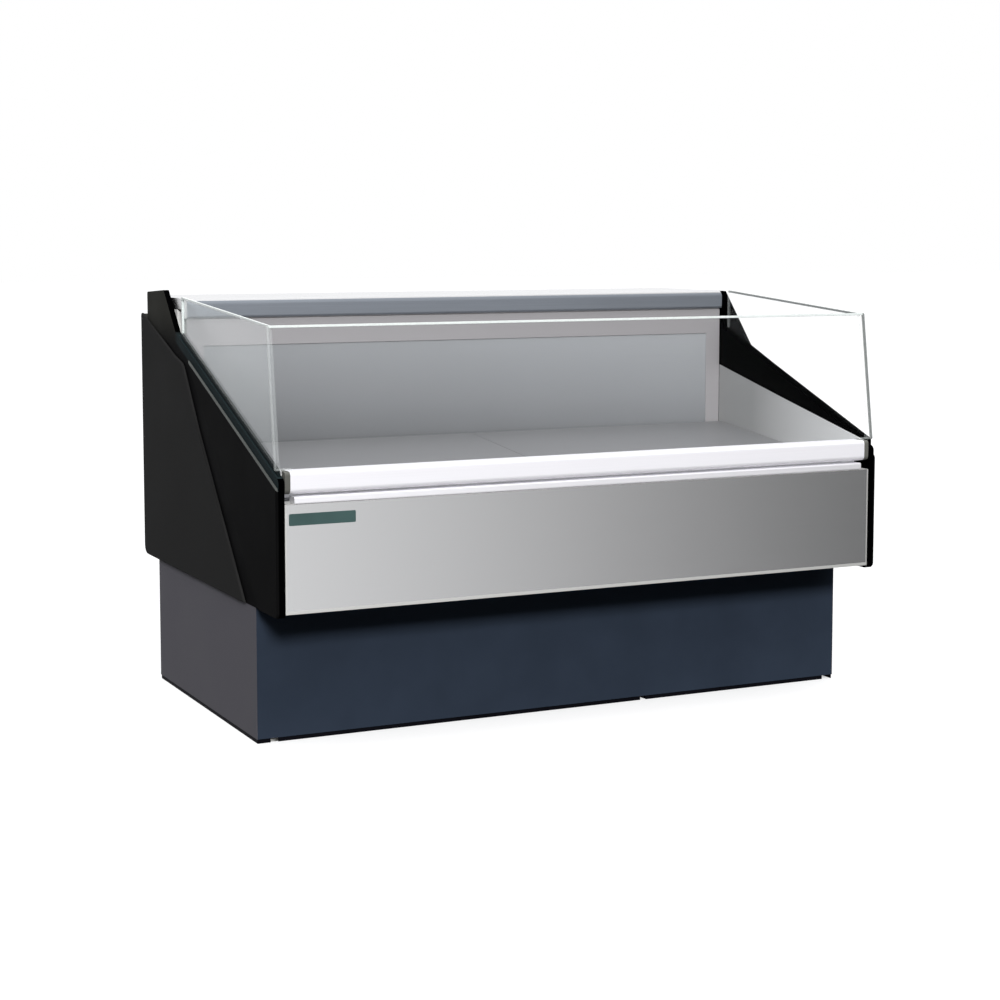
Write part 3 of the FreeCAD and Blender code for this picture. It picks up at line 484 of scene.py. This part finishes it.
FACE_FINISH = {
    "worktop": ("nose_painted_reflection", nose_face),
    "end_panel_left": ("end_panel_side", outer_side),
    "end_panel_right": ("end_panel_side", outer_side),
    "front_panel": ("hem_painted_highlight", panel_hem),
    "end_cover_front_left": ("cover_edge_painted_highlight", cover_slope),
}
OWN_FINISH = {
    "front_lip": "lip_steel",
    "rear_wall_frame": "wall_border",
    "deck_pan_left": "deck_steel",
    "deck_pan_right": "deck_steel",
    "return_air_grille": "deck_steel",
    "end_liner_left": "liner_steel",
    "end_liner_right": "liner_steel",
    "end_cover_rear_left": "rear_cover_black",
    "end_cover_rear_right": "rear_cover_black",
}
SOFT_EDGES = {
    "front_panel": 0.0005,
    "badge_plate": 0.0004,
    "front_lip": 0.0008,
    "glass_rail": 0.0008,
    "rail_end_caps": 0.0008,
    "front_glass_gasket": 0.0004,
    "glass_corner_plate": 0.0008,
    "rear_wall_frame": 0.0012,
    "rear_wall_panel": 0.0004,
    "worktop": 0.0015,
    "deck_pan_left": 0.0005,
    "deck_pan_right": 0.0005,
    "return_air_grille": 0.0005,
    "rear_service_panel": 0.0005,
    "control_box": 0.0012,
    "rocker_switch": 0.0008,
    "base_front_panel": 0.0005,
    "base_rear_grille": 0.0004,
    "base_frame": 0.0015,
    "toe_rails": 0.0008,
    "cord_gland": 0.0006,
}
for side in ("left", "right"):
    SOFT_EDGES["end_panel_" + side] = 0.0006
    SOFT_EDGES["end_cover_front_" + side] = 0.0010
    SOFT_EDGES["end_cover_rear_" + side] = 0.0010
    SOFT_EDGES["end_liner_" + side] = 0.0004
    SOFT_EDGES["base_side_panel_" + side] = 0.0005


def dress_cad():
    """Every CAD node gets its finish; most visible ones are replaced by rounded copies."""
    for node, item in frame["nodes"].items():
        material = FINISH[SLOT_OF[node]]
        item.data.materials.clear()
        item.data.materials.append(material)
    for node, radius in SOFT_EDGES.items():
        soften(node, radius)
    pane("front_glass", front_pane_edge)
    pane("end_glass_left", left_pane_edge, "seal_dark")
    pane("end_glass_right", right_pane_edge, "end_panel_black")


# ---------- details that the CAD leaves plain ----------

def islands(node):
    """Lowest and highest corners of every separate solid of a CAD node."""
    mesh = bmesh.new()
    mesh.from_mesh(frame["nodes"][node].data)
    bmesh.ops.remove_doubles(mesh, verts=mesh.verts, dist=LOOSE)
    waiting = set(mesh.verts)
    boxes = []
    while waiting:
        group = [waiting.pop()]
        for vert in group:
            for edge in vert.link_edges:
                other = edge.other_vert(vert)
                if other in waiting:
                    waiting.discard(other)
                    group.append(other)
        low = Vector([min(vert.co[i] for vert in group) for i in range(3)])
        high = Vector([max(vert.co[i] for vert in group) for i in range(3)])
        boxes.append((low, high))
    mesh.free()
    return sorted(boxes, key=lambda corners: tuple(corners[0]))


def ring(mesh, centre, radius, count=24):
    """Ring of vertices about a line along Y."""
    turn = 2 * math.pi / count
    return [
        mesh.verts.new(centre + Vector((radius * math.cos(turn * i), 0, radius * math.sin(turn * i))))
        for i in range(count)
    ]


def skirt(mesh, first, second):
    """Faces between two loops of equal length."""
    count = len(first)
    for i in range(count):
        j = (i + 1) % count
        mesh.faces.new((first[i], first[j], second[j], second[i]))


def add_screw_head(mesh, low, high):
    """Pan head with a cross recess, facing +Y."""
    radius = (high.x - low.x) / 2
    height = high.y - low.y
    foot = Vector(((low.x + high.x) / 2, low.y, (low.z + high.z) / 2))
    profile = ((1.0, 0.0), (1.0, 0.40), (0.93, 0.72), (0.80, 0.92), (0.66, 1.0))
    loops = [ring(mesh, foot + Vector((0, rise * height, 0)), share * radius) for share, rise in profile]
    for first, second in zip(loops, loops[1:]):
        skirt(mesh, first, second)
    mesh.faces.new(loops[0][::-1])
    arm, half = 0.50 * radius, 0.13 * radius
    outline = (
        (arm, -half), (arm, half), (half, half), (half, arm), (-half, arm), (-half, half),
        (-arm, half), (-arm, -half), (-half, -half), (-half, -arm), (half, -arm), (half, -half),
    )
    rim = [mesh.verts.new(foot + Vector((x, height, z))) for x, z in outline]
    floor = [mesh.verts.new(foot + Vector((0.8 * x, 0.35 * height, 0.8 * z))) for x, z in outline]
    skirt(mesh, rim, floor)
    mesh.faces.new(floor)
    edges = [mesh.edges.get(pair) for loop in (rim, loops[-1]) for pair in zip(loop, loop[1:] + loop[:1])]
    bmesh.ops.triangle_fill(mesh, use_beauty=True, edges=edges)


def make_screws():
    """Screw heads in place of the plain ones of the CAD."""
    mesh = bmesh.new()
    for low, high in islands("panel_screws"):
        add_screw_head(mesh, low, high)
    bmesh.ops.recalc_face_normals(mesh, faces=mesh.faces)
    node = "panel_screws"
    finish_piece(node + "_shape", mesh, [FINISH["zinc_steel"]], BODY_OF[node], "zinc_steel", node)


def add_louvre(mesh, x0, x1, low, face):
    """Pressed hood over one slot: it leans out from the slot's top and is closed at both ends."""
    reach, rise, sheet = 0.0050, 0.0105, 0.0009
    steps = 5
    foot = low - LOUVRE_LAP
    angles = [math.radians(90 - 90 * i / steps) for i in range(steps + 1)]
    outer, inner = [
        [(face + (reach - cut) * math.cos(angle), foot + (rise - cut) * math.sin(angle)) for angle in angles]
        for cut in (0, sheet)
    ]
    profile = outer + inner[::-1]
    ends = [[mesh.verts.new((x, y, z)) for y, z in profile] for x in (x0, x1)]
    skirt(mesh, *ends)
    for end in ends:
        mesh.faces.new(end)
    for x, towards in ((x0, 1), (x1, -1)):
        cheek = outer + [(face, foot)]
        span = (x + CHEEK_INSET * towards, x + sheet * towards)
        pair = [[mesh.verts.new((at, y, z)) for y, z in cheek] for at in span]
        skirt(mesh, *pair)
        for end in pair:
            mesh.faces.new(end)


def make_louvres():
    """Hoods over the slots of the rear grille."""
    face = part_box("base_rear_grille")[1][1]
    first, pitch, rows, length = 0.078, 0.018, 11, 0.310
    mesh = bmesh.new()
    for start in (-0.330, 0.300):
        for row in range(rows):
            add_louvre(mesh, start - LOUVRE_LAP, start + length + LOUVRE_LAP, first + pitch * row, face)
    bmesh.ops.recalc_face_normals(mesh, faces=mesh.faces)
    finish_piece(
        "rear_grille_louvres", mesh, [FINISH["control_grey"]], BODY_OF["base_rear_grille"], "control_grey",
    )


def add_block(mesh, place, across, out, along, size):
    """Small block whose middle of the back lies at place; the three directions are unit vectors."""
    wide, thick, tall = size
    corners = []
    for depth in (0, thick):
        for a, b in ((-1, -1), (1, -1), (1, 1), (-1, 1)):
            shift = across * (a * wide / 2) + out * depth + along * (b * tall / 2)
            corners.append(mesh.verts.new(place + shift))
    skirt(mesh, corners[:4], corners[4:])
    mesh.faces.new(corners[:4][::-1])
    mesh.faces.new(corners[4:])


def make_dial():
    """Tick marks and numbers round the thermostat knob, from its rest to the end of its turn."""
    joint = next(j for j in frame["record"]["behaviour"]["joints"] if j["name"] == "thermostat_knob_turn")
    axis = Vector(joint["axis"])
    low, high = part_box("thermostat_knob")
    box_low, box_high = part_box("control_box")
    centre = Vector(((low[0] + high[0]) / 2, box_high[1], box_low[2] + KNOB_ABOVE_BOX))
    mesh = bmesh.new()
    steps = 9
    for i in range(steps + 1):
        spin = Matrix.Rotation(math.radians(KNOB_TURN * i / steps), 3, axis)
        outward = spin @ Vector((0, 0, 1))
        across = spin @ Vector((1, 0, 0))
        add_block(mesh, centre + outward * TICK_RADIUS, across, Vector((0, 1, 0)), outward, TICK)
        digit = bpy.data.curves.new("digit", "FONT")
        digit.body = str(i)
        digit.size = 0.0065
        digit.extrude = PRINT_T
        digit.align_x = "CENTER"
        digit.align_y = "CENTER"
        sample = bpy.data.objects.new("digit", digit)
        bpy.context.scene.collection.objects.link(sample)
        bpy.context.view_layer.update()
        flat = bpy.data.meshes.new_from_object(sample.evaluated_get(bpy.context.evaluated_depsgraph_get()))
        place = Matrix(((-1, 0, 0), (0, 0, 1), (0, 1, 0))).to_4x4()
        place.translation = centre + outward * DIGIT_RADIUS + Vector((0, PRINT_T, 0))
        flat.transform(place)
        mesh.from_mesh(flat)
        bpy.data.objects.remove(sample)
        bpy.data.curves.remove(digit)
        bpy.data.meshes.remove(flat)
    finish_piece("dial_scale", mesh, [FINISH["print_white"]], BODY_OF["control_box"], "control_grey")


def make_switch_marks():
    """Bar and ring on the two halves of the rocker."""
    shape = bmesh.new()
    shape.from_mesh(frame["nodes"]["rocker_switch"].data)
    tree = BVHTree.FromBMesh(shape)
    low, high = [Vector(corner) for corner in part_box("rocker_switch")]
    x = (low.x + high.x) / 2
    mesh = bmesh.new()
    for share, mark in ((0.76, "bar"), (0.24, "ring")):
        z = low.z + share * (high.z - low.z)
        place, normal, *_ = tree.ray_cast(Vector((x, high.y + 0.05, z)), Vector((0, -1, 0)))
        place = place - normal * MARK_SINK
        along = Vector((1, 0, 0)).cross(normal).normalized()
        if mark == "bar":
            add_block(mesh, place, Vector((1, 0, 0)), normal, along, (0.0012, 0.0004, 0.0075))
            continue
        count = 24
        for i in range(count):
            turn = 2 * math.pi * i / count
            outward = Vector((1, 0, 0)) * math.cos(turn) + along * math.sin(turn)
            sideways = -Vector((1, 0, 0)) * math.sin(turn) + along * math.cos(turn)
            size = (0.0011, 0.0004, 2 * math.pi * RING_RADIUS / count * 1.15)
            add_block(mesh, place + outward * RING_RADIUS, outward, normal, sideways, size)
    shape.free()
    bmesh.ops.recalc_face_normals(mesh, faces=mesh.faces)
    finish_piece("switch_marks", mesh, [FINISH["print_white"]], BODY_OF["rocker_switch"], "fan_black")


# ---------- studio ----------

def make_world():
    """Studio surround: white to the camera, fading from left to right in mirrors, fill from above."""
    world = bpy.data.worlds.new("studio")
    world.use_nodes = True
    bpy.context.scene.world = world
    tree = world.node_tree
    tree.nodes.clear()

    def node(kind, **settings):
        made = tree.nodes.new(kind)
        for name, value in settings.items():
            setattr(made, name, value)
        return made

    def ranged(source, start, end, low, high):
        made = node("ShaderNodeMapRange", interpolation_type="SMOOTHSTEP")
        for name, value in (("From Min", start), ("From Max", end), ("To Min", low), ("To Max", high)):
            made.inputs[name].default_value = value
        tree.links.new(source, made.inputs["Value"])
        return made.outputs["Result"]

    def combined(operation, first, second):
        made = node("ShaderNodeMath", operation=operation)
        tree.links.new(first, made.inputs[0])
        tree.links.new(second, made.inputs[1])
        return made.outputs["Value"]

    def glow(strength, colour):
        made = node("ShaderNodeBackground")
        made.inputs["Color"].default_value = (*colour, 1)
        if isinstance(strength, float):
            made.inputs["Strength"].default_value = strength
        else:
            tree.links.new(strength, made.inputs["Strength"])
        return made.outputs["Background"]

    def chosen(test, otherwise, then):
        made = node("ShaderNodeMixShader")
        tree.links.new(test, made.inputs["Fac"])
        tree.links.new(otherwise, made.inputs[1])
        tree.links.new(then, made.inputs[2])
        return made.outputs["Shader"]

    split = node("ShaderNodeSeparateXYZ")
    tree.links.new(node("ShaderNodeTexCoord").outputs["Generated"], split.inputs["Vector"])
    along, back, up = split.outputs
    front = combined("MULTIPLY", ranged(along, 0.26, 0.64, 1.25, 0.10), ranged(back, -0.1, 0.4, 1.0, 0.0))
    behind = combined("MULTIPLY", ranged(back, 0.0, 0.5, 0.0, 1.0), ranged(up, -0.25, 0.05, 0.55, 1.15))
    mirror = combined("ADD", combined("ADD", front, behind), ranged(up, 0.25, 0.85, 0.0, 0.6))
    fill = combined("ADD", ranged(up, 0.1, 0.5, 0.0, 0.25), ranged(up, 0.4, 0.9, 0.0, 1.35))
    path = node("ShaderNodeLightPath").outputs
    cool = (0.98, 0.985, 1.0)
    lit = chosen(path["Is Glossy Ray"], glow(fill, cool), glow(mirror, cool))
    seen = chosen(path["Is Camera Ray"], lit, glow(1.0, (1, 1, 1)))
    tree.links.new(seen, node("ShaderNodeOutputWorld").inputs["Surface"])


def make_floor():
    """Plain pale floor."""
    mesh = bmesh.new()
    bmesh.ops.create_grid(mesh, x_segments=1, y_segments=1, size=40.0)
    data = bpy.data.meshes.new("floor")
    mesh.to_mesh(data)
    mesh.free()
    floor = bpy.data.objects.new("floor", data)
    bpy.context.scene.collection.objects.link(floor)
    finish = Finish("floor_white", roughness=0.9)
    finish.shader.inputs["Specular IOR Level"].default_value = 0.0
    finish.shader.inputs["Emission Color"].default_value = (1, 1, 1, 1)
    finish.shader.inputs["Emission Strength"].default_value = 0.55
    drift = finish.noise((0.5, 0.5, 0.5))
    finish.feed("Base Color", finish.tint(drift, (0.54, 0.54, 0.54), (0.55, 0.55, 0.55)))
    data.materials.append(finish.material)
    floor.visible_glossy = False
    floor.visible_diffuse = False


def softbox(name, place, aim, width, height, power):
    """Rectangular soft light; the camera doesn't see it."""
    lamp = bpy.data.lights.new(name, "AREA")
    lamp.shape = "RECTANGLE"
    lamp.size = width
    lamp.size_y = height
    lamp.energy = power
    box = bpy.data.objects.new(name, lamp)
    box.location = place
    box.rotation_euler = (Vector(aim) - Vector(place)).to_track_quat("-Z", "Y").to_euler()
    box.visible_camera = False
    bpy.context.scene.collection.objects.link(box)


def make_camera():
    """Seen from ahead and to the left, a little above the worktop."""
    data = bpy.data.cameras.new("camera")
    data.sensor_width = 36.0
    data.lens = 73.266
    data.shift_y = -0.08
    camera = bpy.data.objects.new("camera", data)
    camera.location = (-2.2459, -4.6339, 1.1526)
    pitch = 5.334
    yaw = 25.831
    camera.rotation_euler = (math.radians(90 - pitch), 0, math.radians(-yaw))
    bpy.context.scene.collection.objects.link(camera)
    bpy.context.scene.camera = camera


FINISH = make_finishes()
dress_cad()
make_screws()
make_louvres()
make_dial()
make_switch_marks()
make_world()
make_floor()
softbox("key", (-4.5, -11.0, 6.2), (0, -0.3, 0.6), 3.2, 2.1, 1430)
make_camera()
bpy.context.scene.view_settings.view_transform = "Standard"
